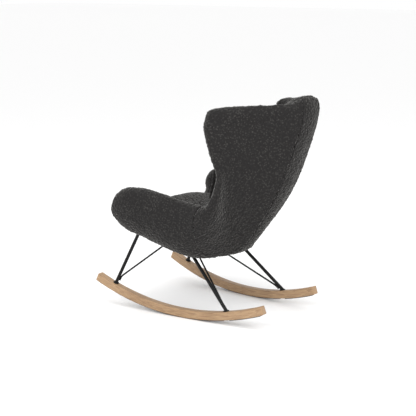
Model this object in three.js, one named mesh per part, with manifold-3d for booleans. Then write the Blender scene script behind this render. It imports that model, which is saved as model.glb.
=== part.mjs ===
// Upholstered wing-back rocking chair on two curved wooden runners.
// Millimetres, +Z up. The chair faces -Y, its left side is +X, and the runners touch the floor at z = 0.
import * as THREE from "three";
import { mergeVertices } from "three/addons/utils/BufferGeometryUtils.js";
import Module from "manifold-3d";

const wasm = await Module();
wasm.setup();

// ---- driving dimensions ----
const GAP = 0.35; // clearance between pieces that touch
const LAYER_GAP = 0.8; // clearance between layers of the upholstery
const CUSHION_GAP = 3; // clearance between the cushions and the padded sides
const CENTRE_Y = 9.24; // middle of the length, from the point where the runners touch the floor

const RUNNER_RADIUS = 1151; // underside of the grip strips
const RUNNER_HEIGHT = 36;
const RUNNER_WIDTH = 34;
const RUNNER_FRONT = -24.5; // end angles along the arc, in degrees
const RUNNER_REAR = 20.5;
const RUNNER_STEP = 1.5;
const RUNNER_EDGE = 3; // chamfer of the long edges
const RUNNER_X = 235; // middle of each runner where it touches the floor
const RUNNER_TOE = 4.7; // the runners stand wider apart at the front
const STRIP_THICK = 3;
const STRIP_WIDTH = 20;
const STRIP_INSET = 1; // bare wood at each end, in degrees
const BOLT_CLEARING = 0.75; // half of the gap in the strip at each bolt, in degrees

const LEG_RADIUS = 7.5;
const BRACE_RADIUS = 4;
const FRONT_FOOT = -19.6; // place of each leg on the arc, in degrees
const REAR_FOOT = 11;
const FOOT_PLATE = { radius: 13, thick: 4 };
const FOOT_BOLT = { shank: 4, head: 7, headHeight: 5, sink: 9, washer: 9 };

const FRAME_FRONT = new THREE.Vector3(213, -274, 346); // tops of the legs, on the underside of the rails
const FRAME_REAR = new THREE.Vector3(160, -57, 313);
const FRAME_CENTRE_Y = -166;
const RAIL_WIDTH = 24;
const RAIL_THICK = 5;
const RAIL_END = 16; // rail beyond the leg
const FRAME_BOLT = { shank: 3, head: 6, headHeight: 4 };
const BOLT_INSET = 24; // from the leg's top to the bolt, along the rail

const BOARD_THICK = 15;
const COVER_THICK = 1.2;
const PLATE_REACH = [0.35, 3.6]; // ribs between which the seat board lies
const PLATE_INSET = 6;
const TEE_BARREL = 4.6;
const PANEL_THICK = 12; // padded outer panels
const ROLL_PAD = 24; // where the inner padding starts: the moulded plywood shell fills the space up to it
const SHELL_EDGE = 0.74; // how far the shell reaches towards the rim, as a share of the rib
const STEP_START = 0.76; // past the shell, the padding steps out to the outer panel
const PANEL_GRID = [0.79, 0.83]; // the outer panel goes on towards the rim
const PAD_EDGE = [0.86, 0.93]; // past the outer panel, the padding is flush with it

// Ribs of the left side, from the front of the arm round the hip to the top of the wing, each with
// base: its lower or rear edge, rise and lean: handles of the curve, rim: where the rounded rim starts,
// roll: thickness of the rim, foot: thickness of the padding at the base.
const RIBS = [
  [[232, -326, 342], [312, -326, 337], [378, -326, 418], [369, -326, 526], 84, 60],
  [[232, -230, 342], [312, -230, 337], [378, -230, 418], [369, -230, 530], 84, 60],
  [[216, -142, 313], [297, -142, 306], [366, -142, 402], [359, -142, 529], 84, 60],
  [[204, -48, 284], [280, -48, 276], [350, -46, 378], [344, -43, 510], 83, 50],
  [[172, 50, 264], [262, 36, 262], [324, 50, 372], [322, 60, 486], 80, 40],
  [[84, 126, 270], [200, 80, 279], [312, 120, 402], [312, 145, 492], 74, 30],
  [[38, 180, 309], [175, 108, 344], [302, 222, 490], [306, 206, 562], 66, 27],
  [[38, 241, 380], [188, 140, 432], [296, 270, 612], [302, 234, 640], 60, 27],
  [[50, 319, 490], [160, 236, 540], [285, 270, 690], [303, 217, 715], 60, 27],
  [[60, 385, 605], [150, 316, 650], [272, 262, 765], [302, 197, 788], 60, 27],
  [[62, 441, 745], [150, 372, 775], [268, 252, 838], [300, 183, 850], 60, 27],
  [[60, 479, 860], [150, 409, 873], [265, 250, 886], [292, 181, 890], 60, 27],
  [[62, 489, 929], [155, 427, 921], [250, 270, 915], [276, 194, 912], 60, 27],
].map(([base, rise, lean, rim, roll, foot]) => ({ base, rise, lean, rim, roll, foot }));
const LAST_RIB = RIBS.length - 1;
const HIP = 4.6; // rib at the seam between arm and wing
const NOSE = { x: 345, z: 455, start: -228, length: 92 }; // rounded front of the arm
const CROWN_STEPS = [25, 50, 72]; // angles of the rounded top edge, in degrees
const CROWN_HEIGHT = 30;
const CROWN_MIDDLE = 20; // the top rises further in the middle of the back
const CROWN_SPREAD = 75;
const CORNER = 0.1; // how far the top edge draws back from the rim as it rises, as a share of the rib
const CUSHION_CLOSE = 0.35; // how far the back cushion narrows over its rounded top
const BACK_BOW = 5; // the back strip stands proud in the middle

// Depth of the seat and back cushions in the middle, from the outer surface, at ribs along the side.
const CUSHION_DEPTH = [
  [0.4, 142], [1, 142], [2, 152], [3, 158], [4, 160], [5, 158], [6, 150],
  [7, 135], [8, 125], [9, 118], [10, 112], [11, 108], [12, 100],
];
const SEAT_FRONT = { reach: 78, z: 420, steps: [25, 50, 72, 86] }; // rounded front, its angles in degrees

// ---- materials ----
function material(color, roughness, metalness = 0) {
  return new THREE.MeshStandardMaterial({ color, roughness, metalness });
}
const ASH = material("#b59a78", 0.55);
const BLACK_STEEL = material("#17171a", 0.45, 0.6);
const ZINC = material("#9a9c9e", 0.4, 0.9);
const GRIP = material("#2a2724", 0.9);
const PLYWOOD = material("#c8a877", 0.7);
const BOUCLE = material("#3d3b39", 0.95);
const LINING = material("#1c1c1d", 0.9);

const chair = new THREE.Group();
const lowestFacet = RUNNER_RADIUS * (1 - Math.cos(THREE.MathUtils.degToRad(RUNNER_STEP / 2)));
chair.position.set(0, -CENTRE_Y, -lowestFacet);

function addPiece(name, geometry, finish) {
  const mesh = new THREE.Mesh(geometry, finish);
  mesh.name = name;
  chair.add(mesh);
}

// ---- solids ----
const radians = THREE.MathUtils.degToRad;
const vector = (x, y, z) => new THREE.Vector3(x, y, z);
const mirrored = (point) => vector(-point.x, point.y, point.z);

// Evenly spaced values, both ends included.
function spread(from, to, count) {
  return Array.from({ length: count }, (_, i) => from + ((to - from) * i) / (count - 1));
}

// Closed solid between rings of equal length; cap lists the triangles that close one ring.
// Beyond the index "turn" the quads are split the other way, so that facing layers have the same facets.
function loft(rings, cap, turn = Infinity) {
  const count = rings[0].length;
  const index = [];
  for (let i = 0; i < rings.length - 1; i++)
    for (let j = 0; j < count; j++) {
      const next = (j + 1) % count;
      const [a, b] = [i * count + j, i * count + next];
      const [d, c] = [a + count, b + count];
      if (j < turn) index.push(a, b, c, a, c, d);
      else index.push(b, c, d, b, d, a);
    }
  const last = (rings.length - 1) * count;
  for (const [a, b, c] of cap) {
    index.push(c, b, a);
    index.push(last + a, last + b, last + c);
  }
  const geometry = new THREE.BufferGeometry();
  const flat = rings.flat().flatMap((p) => [p.x, p.y, p.z]);
  geometry.setAttribute("position", new THREE.Float32BufferAttribute(flat, 3));
  geometry.setIndex(index);
  return facingOut(geometry);
}

function facingOut(geometry) {
  const position = geometry.getAttribute("position");
  const order = geometry.index.array;
  const [a, b, c] = [vector(), vector(), vector()];
  let volume = 0;
  for (let i = 0; i < order.length; i += 3) {
    a.fromBufferAttribute(position, order[i]);
    b.fromBufferAttribute(position, order[i + 1]);
    c.fromBufferAttribute(position, order[i + 2]);
    volume += a.dot(b.cross(c));
  }
  if (volume < 0) order.reverse();
  return geometry;
}

// Closes a ring whose first and second halves run side by side, in opposite directions.
function zipCap(count) {
  const cap = [];
  for (let low = 0, high = count - 1; low + 1 < high; low++, high--) {
    if (low + 2 < high) cap.push([low, high - 1, high]);
    cap.push([low, low + 1, low + 2 < high ? high - 1 : high]);
  }
  return cap;
}

const fanCap = (count) => Array.from({ length: count - 2 }, (_, i) => [0, i + 1, i + 2]);

function toSolid(geometry) {
  const plain = geometry.clone();
  plain.deleteAttribute("normal");
  plain.deleteAttribute("uv");
  const merged = mergeVertices(plain, 1e-4);
  return new wasm.Manifold(
    new wasm.Mesh({
      numProp: 3,
      vertProperties: new Float32Array(merged.attributes.position.array),
      triVerts: new Uint32Array(merged.index.array),
    }),
  );
}

function cutFrom(geometry, tools) {
  let solid = toSolid(geometry);
  for (const tool of tools) solid = solid.subtract(toSolid(tool));
  const { vertProperties, triVerts } = solid.getMesh();
  const result = new THREE.BufferGeometry();
  result.setAttribute("position", new THREE.BufferAttribute(vertProperties, 3));
  result.setIndex(new THREE.BufferAttribute(triVerts, 1));
  return result;
}

// Turned piece from [radius, height] pairs, its axis laid along direction from origin.
function turned(profile, origin, direction, sides = 16) {
  const geometry = new THREE.LatheGeometry(profile.map(([r, h]) => new THREE.Vector2(r, h)), sides);
  const turn = new THREE.Quaternion().setFromUnitVectors(vector(0, 1, 0), direction.clone().normalize());
  geometry.applyQuaternion(turn).translate(origin.x, origin.y, origin.z);
  return geometry;
}

// Round rod through points, its ends cut on the planes with the given normals.
function rod(points, radius, startNormal, endNormal, sides = 10) {
  const rings = points.map((point, i) => {
    const before = points[Math.max(i - 1, 0)];
    const after = points[Math.min(i + 1, points.length - 1)];
    const along = after.clone().sub(before).normalize();
    const normal = i === 0 ? startNormal : i === points.length - 1 ? endNormal : along;
    const across = vector(1, 0, 0).cross(along).normalize();
    const up = along.clone().cross(across);
    return Array.from({ length: sides }, (_, j) => {
      const angle = (2 * Math.PI * j) / sides;
      const offset = across.clone().multiplyScalar(radius * Math.cos(angle));
      offset.addScaledVector(up, radius * Math.sin(angle));
      const slide = -offset.dot(normal) / along.dot(normal);
      return point.clone().add(offset).addScaledVector(along, slide);
    });
  });
  return loft(rings, fanCap(sides));
}

// ---- runners ----
const toe = radians(RUNNER_TOE);

// Point at an angle along the left runner, at a radius from the arc's centre, offset sideways.
function runnerPoint(degrees, radius, sideways) {
  const along = radius * Math.sin(radians(degrees));
  const height = RUNNER_RADIUS - radius * Math.cos(radians(degrees));
  return vector(
    RUNNER_X - along * Math.sin(toe) + sideways * Math.cos(toe),
    along * Math.cos(toe) + sideways * Math.sin(toe),
    height,
  );
}

function runnerInward(degrees) {
  const angle = radians(degrees);
  return vector(Math.sin(angle) * Math.sin(toe), -Math.sin(angle) * Math.cos(toe), Math.cos(angle));
}

function arcSolid(from, to, outer, inner, width, edge) {
  const steps = Math.max(1, Math.round((to - from) / RUNNER_STEP));
  const half = width / 2;
  const outline = edge
    ? [
        [-half + edge, outer], [half - edge, outer], [half, outer - edge], [half, inner + edge],
        [half - edge, inner], [-half + edge, inner], [-half, inner + edge], [-half, outer - edge],
      ]
    : [[-half, outer], [half, outer], [half, inner], [-half, inner]];
  const rings = Array.from({ length: steps + 1 }, (_, i) => {
    const degrees = from + ((to - from) * i) / steps;
    return outline.map(([sideways, radius]) => runnerPoint(degrees, radius, sideways));
  });
  return loft(rings, fanCap(outline.length));
}

const WOOD_BOTTOM = RUNNER_RADIUS - STRIP_THICK - GAP;
const WOOD_TOP = WOOD_BOTTOM - RUNNER_HEIGHT;

function boltHole(degrees) {
  const { shank, washer, sink } = FOOT_BOLT;
  const profile = [[0, -5], [washer, -5], [washer, sink], [shank + GAP, sink], [shank + GAP, 80], [0, 80]];
  return turned(profile, runnerPoint(degrees, WOOD_BOTTOM, 0), runnerInward(degrees));
}

function runner() {
  const blank = arcSolid(RUNNER_FRONT, RUNNER_REAR, WOOD_BOTTOM, WOOD_TOP, RUNNER_WIDTH, RUNNER_EDGE);
  return cutFrom(blank, [FRONT_FOOT, REAR_FOOT].map(boltHole));
}

// The middle strip is even about the lowest point, so that one of its facets lies flat on the floor.
function strips() {
  const stops = [
    RUNNER_FRONT + STRIP_INSET, FRONT_FOOT - BOLT_CLEARING, FRONT_FOOT + BOLT_CLEARING,
    REAR_FOOT - BOLT_CLEARING, REAR_FOOT + BOLT_CLEARING, RUNNER_REAR - STRIP_INSET,
  ];
  return ["front", "middle", "rear"].map((place, i) => {
    const [from, to] = [stops[2 * i], stops[2 * i + 1]];
    const flat = place === "middle";
    return { place, solid: flat ? flatStrip(from, to) : stripSolid([from, to]) };
  });
}

function stripSolid(angles) {
  const rings = [];
  for (let i = 0; i < angles.length - 1; i++) {
    const steps = Math.max(1, Math.round((angles[i + 1] - angles[i]) / RUNNER_STEP));
    rings.push(...spread(angles[i], angles[i + 1], steps + 1).slice(i ? 1 : 0));
  }
  const half = STRIP_WIDTH / 2;
  const sections = rings.map((degrees) =>
    [[-half, 0], [half, 0], [half, STRIP_THICK], [-half, STRIP_THICK]].map(([sideways, depth]) =>
      runnerPoint(degrees, RUNNER_RADIUS - depth, sideways),
    ),
  );
  return loft(sections, fanCap(4));
}

const flatStrip = (from, to) => stripSolid([from, -RUNNER_STEP / 2, RUNNER_STEP / 2, to]);

function footPlate(degrees) {
  const { radius, thick } = FOOT_PLATE;
  const hole = FOOT_BOLT.shank + GAP;
  const profile = [[hole, 0], [radius, 0], [radius, thick], [hole, thick], [hole, 0]];
  return turned(profile, runnerPoint(degrees, WOOD_TOP - GAP, 0), runnerInward(degrees));
}

function footBolt(degrees) {
  const { shank, head, headHeight, sink } = FOOT_BOLT;
  const seat = sink - GAP;
  const socket = 3;
  const tip = RUNNER_HEIGHT + GAP + FOOT_PLATE.thick - 0.5;
  const profile = [
    [0, seat - headHeight + socket], [socket, seat - headHeight + socket], [socket, seat - headHeight],
    [head, seat - headHeight], [head, seat], [shank, seat], [shank, tip], [0, tip],
  ];
  return turned(profile, runnerPoint(degrees, WOOD_BOTTOM, 0), runnerInward(degrees), 12);
}

// ---- legs, braces and the frame under the seat ----
const frameSlope = Math.atan2(FRAME_FRONT.z - FRAME_REAR.z, FRAME_REAR.y - FRAME_FRONT.y);
const frameUp = vector(0, Math.sin(frameSlope), Math.cos(frameSlope));
const frameDown = frameUp.clone().negate();

function framePoint(x, y, lift) {
  const z = FRAME_FRONT.z - (y - FRAME_FRONT.y) * Math.tan(frameSlope);
  return vector(x, y, z).addScaledVector(frameUp, lift);
}

const footTop = (degrees) => runnerPoint(degrees, WOOD_TOP - 2 * GAP - FOOT_PLATE.thick, 0);

function leg(degrees, top) {
  const ends = [footTop(degrees), top.clone().addScaledVector(frameUp, -GAP)];
  return rod(ends, LEG_RADIUS, runnerInward(degrees), frameUp, 12);
}

// The brace lies along the leg for a short way above the foot, bends, and runs to the middle of the frame.
function brace(degrees, top, end) {
  const foot = footTop(degrees);
  const along = top.clone().sub(foot).normalize();
  const target = end.clone().addScaledVector(frameUp, -GAP);
  const away = target.clone().sub(foot);
  away.addScaledVector(along, -away.dot(along)).normalize();
  const beside = LEG_RADIUS + BRACE_RADIUS + GAP;
  const low = foot.clone().addScaledVector(along, 12).addScaledVector(away, beside);
  const bend = foot.clone().addScaledVector(along, 34).addScaledVector(away, beside);
  const heading = target.clone().sub(bend).normalize();
  const knee = new THREE.QuadraticBezierCurve3(
    bend.clone().addScaledVector(along, -10), bend, bend.clone().addScaledVector(heading, 10),
  );
  return rod([low, ...knee.getPoints(4), target], BRACE_RADIUS, along, frameUp, 8);
}

// Flat steel bar on the frame's plane between two points.
function bar(from, to, width, holes) {
  const along = to.clone().sub(from).normalize();
  const across = along.clone().cross(frameUp).normalize();
  const corner = (point, side, height) =>
    point.clone().addScaledVector(across, (side * width) / 2).addScaledVector(frameUp, height);
  const ring = (point) => [
    corner(point, -1, 0), corner(point, 1, 0), corner(point, 1, RAIL_THICK), corner(point, -1, RAIL_THICK),
  ];
  return cutFrom(loft([ring(from), ring(to)], fanCap(4)), holes);
}

// Cross bar between the side rails at a place along the frame.
function crossBar(y) {
  const share = (y - FRAME_FRONT.y) / (FRAME_REAR.y - FRAME_FRONT.y);
  const railX = FRAME_FRONT.x + (FRAME_REAR.x - FRAME_FRONT.x) * share;
  const reach = railX - RAIL_WIDTH / 2 - 5;
  return bar(framePoint(-reach, y, 0), framePoint(reach, y, 0), RAIL_WIDTH, []);
}

const railAlong = FRAME_REAR.clone().sub(FRAME_FRONT).normalize();
const railStart = FRAME_FRONT.clone().addScaledVector(railAlong, -RAIL_END);
const railEnd = FRAME_REAR.clone().addScaledVector(railAlong, RAIL_END);
const boltSpots = {
  front: FRAME_FRONT.clone().addScaledVector(railAlong, BOLT_INSET),
  rear: FRAME_REAR.clone().addScaledVector(railAlong, -BOLT_INSET),
};
const BOARD_LIFT = RAIL_THICK + COVER_THICK + 2 * GAP;

function drill(spot, radius) {
  return turned([[0, -40], [radius, -40], [radius, 60], [0, 60]], spot, frameUp, 12);
}

function drills(radius) {
  const spots = Object.values(boltSpots);
  return [...spots, ...spots.map(mirrored)].map((spot) => drill(spot, radius));
}

function frameBolt(spot) {
  const { shank, head, headHeight } = FRAME_BOLT;
  const top = BOARD_LIFT + BOARD_THICK - 3;
  const base = -GAP;
  const profile = [
    [0, base - headHeight], [head, base - headHeight], [head, base], [shank, base], [shank, top], [0, top],
  ];
  return turned(profile, spot, frameUp, 12);
}

// Tee nut: a barrel in the board with a flange on its top face.
function teeNut(spot) {
  const bore = FRAME_BOLT.shank + GAP;
  const top = BOARD_LIFT + BOARD_THICK + GAP;
  const profile = [
    [bore, top - 10], [TEE_BARREL, top - 10], [TEE_BARREL, top], [9, top],
    [9, top + 1.5], [bore, top + 1.5], [bore, top - 10],
  ];
  return turned(profile, spot, frameUp, 12);
}

// Plate on the frame's plane whose outline follows the base of the sides.
function plate(lift, thick, holeRadius) {
  const edge = spread(PLATE_REACH[0], PLATE_REACH[1], 8).map((t) => {
    const point = ribPoint(t, 0);
    return [point.x - PLATE_INSET, point.y];
  });
  const outline = [...edge, ...edge.slice().reverse().map(([x, y]) => [-x, y])];
  const ring = (height) => outline.map(([x, y]) => framePoint(x, y, lift + height));
  return cutFrom(loft([ring(0), ring(thick)], zipCap(outline.length)), drills(holeRadius));
}

// ---- upholstered shell ----
const through = (points) => new THREE.CatmullRomCurve3(points, false, "catmullrom");
const ribPoints = (key) => RIBS.map((rib) => vector(...rib[key]));
const ribCurves = ["base", "rise", "lean", "rim"].map((key) => through(ribPoints(key)));
const sizeCurve = through(RIBS.map(({ roll, foot }) => vector(roll, foot, 0)));

// Outer surface of the left side: t counts ribs, s runs from base (0) to rim (1).
function ribPoint(t, s) {
  return new THREE.CubicBezierCurve3(...ribCurves.map((curve) => curve.getPoint(t / LAST_RIB))).getPoint(s);
}

function ribFrame(t, s) {
  const step = 0.002;
  const along = ribPoint(t, Math.min(s + step, 1)).sub(ribPoint(t, Math.max(s - step, 0))).normalize();
  const round = ribPoint(Math.min(t + step, LAST_RIB), s).sub(ribPoint(Math.max(t - step, 0), s));
  const inward = along.clone().cross(round).normalize();
  return { along, inward };
}

function thickness(t, s) {
  const { x: roll, y: foot } = sizeCurve.getPoint(t / LAST_RIB);
  return foot + (roll - foot) * s ** 1.5;
}

// A point of the side's padding: depth goes inward from the outer surface, beyond goes past the rim.
function sidePoint(t, { s, depth, beyond = 0 }) {
  const { along, inward } = ribFrame(t, s);
  const point = ribPoint(t, s).addScaledVector(inward, depth).addScaledVector(along, beyond);
  if (point.y < NOSE.start) {
    const f = Math.sqrt(Math.max(0.02, 1 - ((point.y - NOSE.start) / NOSE.length) ** 2));
    point.x = NOSE.x + (point.x - NOSE.x) * f;
    point.z = NOSE.z + (point.z - NOSE.z) * f;
  }
  return point;
}

// Sections of the side, each a list of { s, depth, beyond } that goes once round the piece.
const GRID = spread(0.02, SHELL_EDGE, 7);
const layer = (places, depth) => places.map((s) => ({ s, depth }));
const panelSection = () => [
  ...layer([...GRID, ...PANEL_GRID], 0),
  ...layer([...GRID, ...PANEL_GRID], PANEL_THICK).reverse(),
];
const shellSection = () => [
  ...layer(GRID, PANEL_THICK + LAYER_GAP),
  ...layer(GRID, ROLL_PAD - LAYER_GAP).reverse(),
];
function padSection(t) {
  const full = thickness(t, 1);
  const roll = [25, 60, 90, 120, 155].map((degrees) => ({
    s: 1,
    depth: (full / 2) * (1 - Math.cos(radians(degrees))),
    beyond: (full / 2) * Math.sin(radians(degrees)),
  }));
  const inner = [...GRID, STEP_START, ...PANEL_GRID, ...PAD_EDGE, 1].map((s) => ({ s, depth: thickness(t, s) }));
  return [
    ...layer([...GRID, STEP_START], ROLL_PAD),
    ...layer([...PANEL_GRID, PAD_EDGE[0]], PANEL_THICK + LAYER_GAP),
    ...layer(PAD_EDGE, 0),
    ...roll,
    ...inner.reverse(),
  ];
}

function sideSolid(section, stations, side, crowned) {
  const rings = stations.map((t) => section(t).map((spot) => sidePoint(t, spot)));
  if (crowned) rings.push(...crown(section(LAST_RIB)));
  const placed = rings.map((ring) => (side > 0 ? ring : ring.map(mirrored)));
  const count = rings[0].length;
  return loft(placed, zipCap(count), Math.floor(count / 2));
}

const crownLift = (x) => CROWN_HEIGHT + CROWN_MIDDLE * Math.exp(-((x / CROWN_SPREAD) ** 4));

// Rounded top edge: the last section rises while it closes towards the middle of the padding.
function crown(section) {
  const t = LAST_RIB;
  return CROWN_STEPS.map((degrees) => {
    const [close, lift] = [Math.cos(radians(degrees)), Math.sin(radians(degrees))];
    return section.map(({ s, depth, beyond = 0 }) => {
      const middle = thickness(t, s) / 2;
      const place = s * (1 - CORNER * (1 - close));
      const spot = { s: place, depth: middle + (depth - middle) * close, beyond: beyond * close };
      const point = sidePoint(t, spot);
      point.z += crownLift(point.x) * lift;
      return point;
    });
  });
}

// Rounded top of the back cushion: its last section rises while it narrows towards its middle.
function cushionTop(section) {
  const middle = section.reduce((sum, point) => sum.add(point), vector(0, 0, 0)).divideScalar(section.length);
  return CROWN_STEPS.map((degrees) => {
    const [close, lift] = [Math.cos(radians(degrees)), Math.sin(radians(degrees))];
    return section.map((point) => {
      const risen = point.clone().lerp(middle, CUSHION_CLOSE * (1 - close));
      risen.z = point.z + (CROWN_HEIGHT + CROWN_MIDDLE) * lift;
      return risen;
    });
  });
}

// Middle of the back and seat: across from one side's padding to the other's.
function cushionDepth(t) {
  const after = CUSHION_DEPTH.findIndex(([rib]) => rib >= t);
  const [low, high] = [CUSHION_DEPTH[Math.max(after - 1, 0)], CUSHION_DEPTH[after]];
  const share = high[0] === low[0] ? 0 : (t - low[0]) / (high[0] - low[0]);
  return low[1] + (high[1] - low[1]) * share;
}

function centreFrame(t) {
  const { y, z } = ribPoint(t, 0);
  const step = 0.01;
  const ahead = ribPoint(Math.min(t + step, LAST_RIB), 0).sub(ribPoint(Math.max(t - step, 0), 0));
  const inward = vector(0, -ahead.z, ahead.y).normalize();
  return { inward, middle: vector(0, y, z) };
}

// Edge of a centre piece against the side's layers, at a depth.
function seam(t, depth) {
  return sidePoint(t, { s: GRID[0], depth }).add(vector(-LAYER_GAP - 1, 0, 0));
}

// Section of the seat or back cushion: it rests on the shell or board and spreads over the sides' padding.
function cushionSection(t, bottom, reach) {
  const { inward, middle } = centreFrame(t);
  const half = [bottom];
  for (const s of GRID.slice(0, reach)) half.push(sidePoint(t, { s, depth: thickness(t, s) + CUSHION_GAP }));
  const edge = half[half.length - 1];
  const top = middle.clone().addScaledVector(inward, cushionDepth(t));
  const shoulder = edge.clone().lerp(vector(0, top.y, top.z), 0.35).addScaledVector(inward, 14);
  const arch = new THREE.CubicBezierCurve3(edge, shoulder, vector(edge.x * 0.45, top.y, top.z), top);
  half.push(...arch.getPoints(5).slice(1, 5));
  return [...half, top, ...half.slice().reverse().map(mirrored)];
}

// Rounded front of the seat: its first section goes forward while it closes towards its middle height.
function seatFront(section) {
  const { reach, z, steps } = SEAT_FRONT;
  return steps.map((degrees) => {
    const [close, ahead] = [Math.cos(radians(degrees)), Math.sin(radians(degrees))];
    return section.map((point) => vector(point.x, point.y - reach * ahead, z + (point.z - z) * close));
  });
}

function cushion(stations, bottom, reach) {
  const rings = stations.map((t) => cushionSection(t, bottom(t), reach));
  if (bottom === seatBottom) rings.unshift(...seatFront(rings[0]).reverse());
  else rings.push(...cushionTop(rings[rings.length - 1]));
  const count = rings[0].length;
  return loft(rings, zipCap(count), Math.floor(count / 2));
}

// Strip of the back between the side panels, from depth to depth.
function backStrip(stations, from, to) {
  const rings = stations.map((t) => {
    const { inward, middle } = centreFrame(t);
    const row = (depth) => {
      const edge = seam(t, depth);
      const centre = middle.clone().addScaledVector(inward, depth - BACK_BOW);
      const half = edge.clone().lerp(centre, 0.5).addScaledVector(inward, -BACK_BOW / 4);
      return [mirrored(edge), mirrored(half), centre, half, edge];
    };
    return [...row(from), ...row(to).reverse()];
  });
  return loft(rings, zipCap(10), 5);
}

// ---- assembly ----
const armStations = [0, 0.12, 0.3, 0.55, 0.85, 1.2, 2, 2.8, 3.5, 4.1, HIP - 0.02];
const wingStations = [...spread(HIP + 0.02, 7, 6), ...spread(7.6, LAST_RIB, 8)];
const shellStations = [...armStations.slice(5), ...wingStations.slice(0, -1)];

for (const [name, side] of [["left", 1], ["right", -1]]) {
  const place = (geometry) => (side > 0 ? geometry : facingOut(geometry.clone().scale(-1, 1, 1)));
  const spot = (point) => (side > 0 ? point : mirrored(point));
  addPiece(`${name}_runner`, place(runner()), ASH);
  for (const { place: where, solid } of strips()) addPiece(`${name}_grip_strip_${where}`, place(solid), GRIP);
  const feet = [["front", FRONT_FOOT, FRAME_FRONT, 34], ["rear", REAR_FOOT, FRAME_REAR, 12]];
  for (const [where, degrees, top, endX] of feet) {
    addPiece(`${name}_${where}_foot_plate`, place(footPlate(degrees)), BLACK_STEEL);
    addPiece(`${name}_${where}_foot_bolt`, place(footBolt(degrees)), ZINC);
    addPiece(`${name}_${where}_leg`, place(leg(degrees, top)), BLACK_STEEL);
    const braceEnd = framePoint(endX, FRAME_CENTRE_Y, 0);
    addPiece(`${name}_${where}_brace`, place(brace(degrees, top, braceEnd)), BLACK_STEEL);
    addPiece(`${name}_${where}_frame_bolt`, frameBolt(spot(boltSpots[where])), ZINC);
    addPiece(`${name}_${where}_tee_nut`, teeNut(spot(boltSpots[where])), ZINC);
  }
  const rail = bar(spot(railStart), spot(railEnd), RAIL_WIDTH, drills(FRAME_BOLT.shank + GAP));
  addPiece(`${name}_side_rail`, rail, BLACK_STEEL);
  addPiece(`${name}_arm_panel`, sideSolid(panelSection, armStations, side), BOUCLE);
  addPiece(`${name}_wing_panel`, sideSolid(panelSection, wingStations, side), BOUCLE);
  addPiece(`${name}_side_shell`, sideSolid(shellSection, shellStations, side), PLYWOOD);
  addPiece(`${name}_arm_pad`, sideSolid(padSection, armStations, side), BOUCLE);
  addPiece(`${name}_wing_pad`, sideSolid(padSection, wingStations, side, true), BOUCLE);
}

const seatStations = armStations.slice(4);
const stripStations = [...armStations.slice(-1), ...wingStations];
const boardTop = BOARD_LIFT + BOARD_THICK + 6;

// Lower corner of the seat cushion, on the board in front and on the padding behind it.
function seatBottom(t) {
  const corner = sidePoint(t, { s: GRID[0], depth: ROLL_PAD });
  const board = framePoint(0, corner.y, boardTop).z;
  return vector(corner.x - 3, corner.y, Math.max(board, corner.z));
}

addPiece("front_cross_bar", crossBar(FRAME_FRONT.y + 6), BLACK_STEEL);
addPiece("centre_cross_bar", crossBar(FRAME_CENTRE_Y), BLACK_STEEL);
addPiece("rear_cross_bar", crossBar(FRAME_REAR.y), BLACK_STEEL);
addPiece("dust_cover", plate(RAIL_THICK + GAP, COVER_THICK, FRAME_BOLT.shank + GAP), LINING);
addPiece("seat_board", plate(BOARD_LIFT, BOARD_THICK, TEE_BARREL + GAP), PLYWOOD);
addPiece("seat_cushion", cushion(seatStations, seatBottom, 6), BOUCLE);
addPiece("back_cushion", cushion(wingStations, (t) => seam(t, ROLL_PAD), 5), BOUCLE);
addPiece("back_panel", backStrip(stripStations, 0, PANEL_THICK), BOUCLE);
const backShell = backStrip(stripStations.slice(1, -1), PANEL_THICK + LAYER_GAP, ROLL_PAD - LAYER_GAP);
addPiece("back_shell", backShell, PLYWOOD);

export default chair;
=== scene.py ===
"""Upholstered wing-back rocking chair: boucle covers, ash runners and black metal legs."""
import math

import bpy
import numpy as np
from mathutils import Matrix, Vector

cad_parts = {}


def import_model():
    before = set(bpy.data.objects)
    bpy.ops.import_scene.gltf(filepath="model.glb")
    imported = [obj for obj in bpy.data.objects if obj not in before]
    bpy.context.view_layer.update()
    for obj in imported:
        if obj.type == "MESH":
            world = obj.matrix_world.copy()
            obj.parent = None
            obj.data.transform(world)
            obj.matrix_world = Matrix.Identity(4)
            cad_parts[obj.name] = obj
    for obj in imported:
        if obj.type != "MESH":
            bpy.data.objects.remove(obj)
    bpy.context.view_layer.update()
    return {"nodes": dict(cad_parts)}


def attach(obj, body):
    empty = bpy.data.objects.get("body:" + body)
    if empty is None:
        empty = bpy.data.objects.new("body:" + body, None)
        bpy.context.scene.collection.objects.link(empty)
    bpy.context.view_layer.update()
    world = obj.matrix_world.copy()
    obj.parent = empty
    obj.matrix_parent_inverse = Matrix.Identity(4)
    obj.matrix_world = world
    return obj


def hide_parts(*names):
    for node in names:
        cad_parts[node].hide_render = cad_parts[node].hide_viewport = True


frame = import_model()
SIDES = {"left": 1, "right": -1}

# ---- the chair's own dimensions, in millimetres from the point where the runners touch the floor ----
MM = 0.001
CENTRE_Y = 9.24  # middle of the chair's length
RUNNER = {
    "radius": 1151, "height": 36, "width": 34, "edge": 3.0,
    "x": 235, "toe": 4.7, "front": -24.5, "rear": 20.5,  # toe and ends in degrees
}
STRIP_THICK = 3
GAP = 0.35  # between pieces that touch
COVER_GAP = 1.2  # between the back strip and the sides' covers
FACET = 1.5  # degrees covered by each straight piece of the grip strips
FLOOR_Z = RUNNER["radius"] * (1 - math.cos(math.radians(FACET / 2)))  # the lowest facet lies on the floor
FEET = {"front": -19.6, "rear": 11.0}  # places of the legs on the runner's arc, in degrees
FRAME_TOP = {"front": (213, -274, 346), "rear": (160, -57, 313)}
BRACE_END = {"front": 34, "rear": 12}  # distance of the braces' upper ends from the middle
FRAME_CENTRE_Y = -166
FRAME_SLOPE = (FRAME_TOP["front"][2] - FRAME_TOP["rear"][2]) / (FRAME_TOP["rear"][1] - FRAME_TOP["front"][1])
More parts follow.
